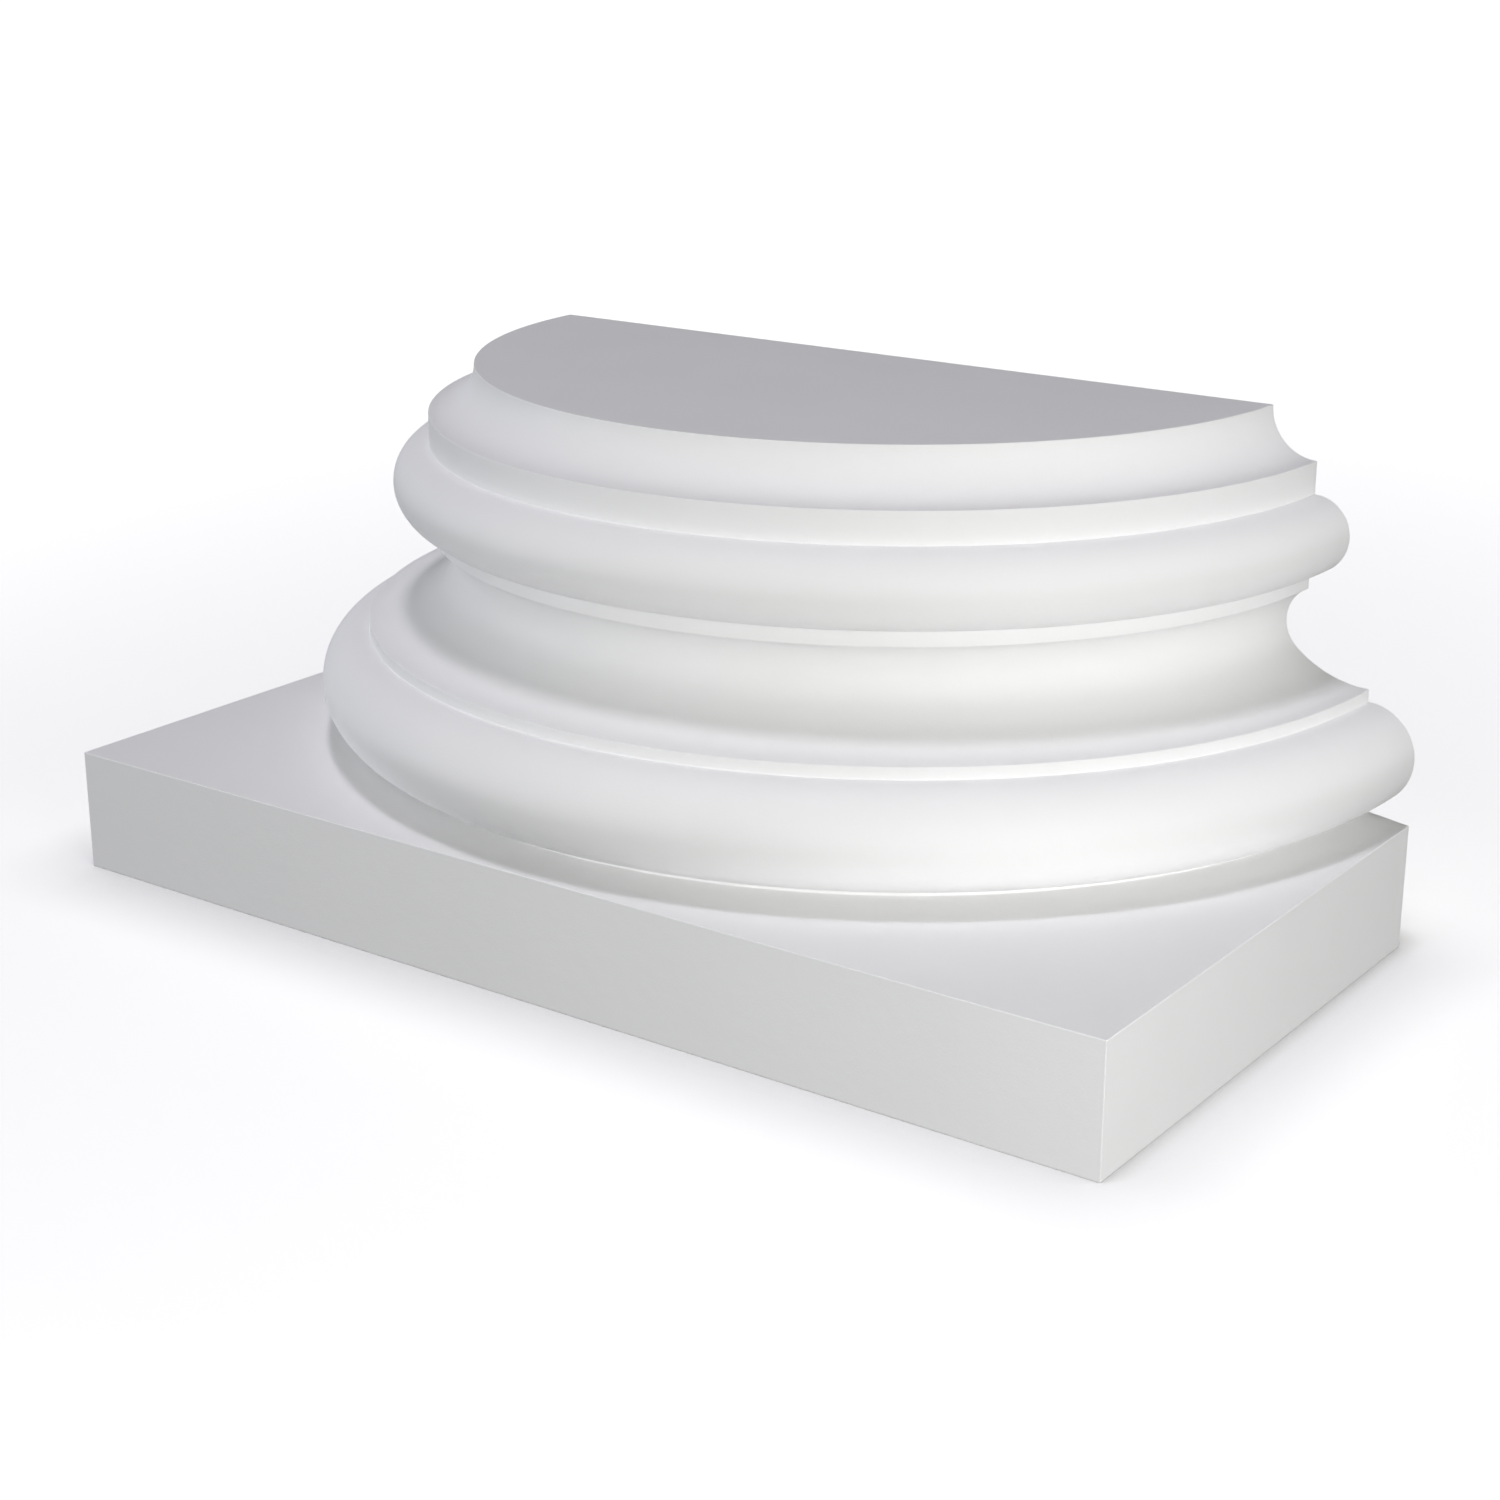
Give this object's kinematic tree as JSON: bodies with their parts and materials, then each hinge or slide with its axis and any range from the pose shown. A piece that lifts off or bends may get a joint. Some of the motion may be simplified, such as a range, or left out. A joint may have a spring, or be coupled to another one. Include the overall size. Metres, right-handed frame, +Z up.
{
  "type": "half column base",
  "caption": "Half of a round Attic column base on a square-edged plinth, flat at the back: two tori with a scotia between them, and a cavetto up to a flat bed.",
  "frame": {"origin": "centre of the underside's rectangle, halfway between the flat back and the front face of the plinth", "axes": "+Z up along the column, -Y out to the front, +Y towards the wall behind; the flat back is the plane y = +0.100 m and the column's axis lies in it"},
  "size_m": [0.4, 0.2, 0.1718],
  "materials": {
    "moulding": "smooth matt white, as moulded and primed, ready for painting"
  },
  "bodies": {
    "root": {"half_column_base": "moulding"}
  },
  "joints": []
}
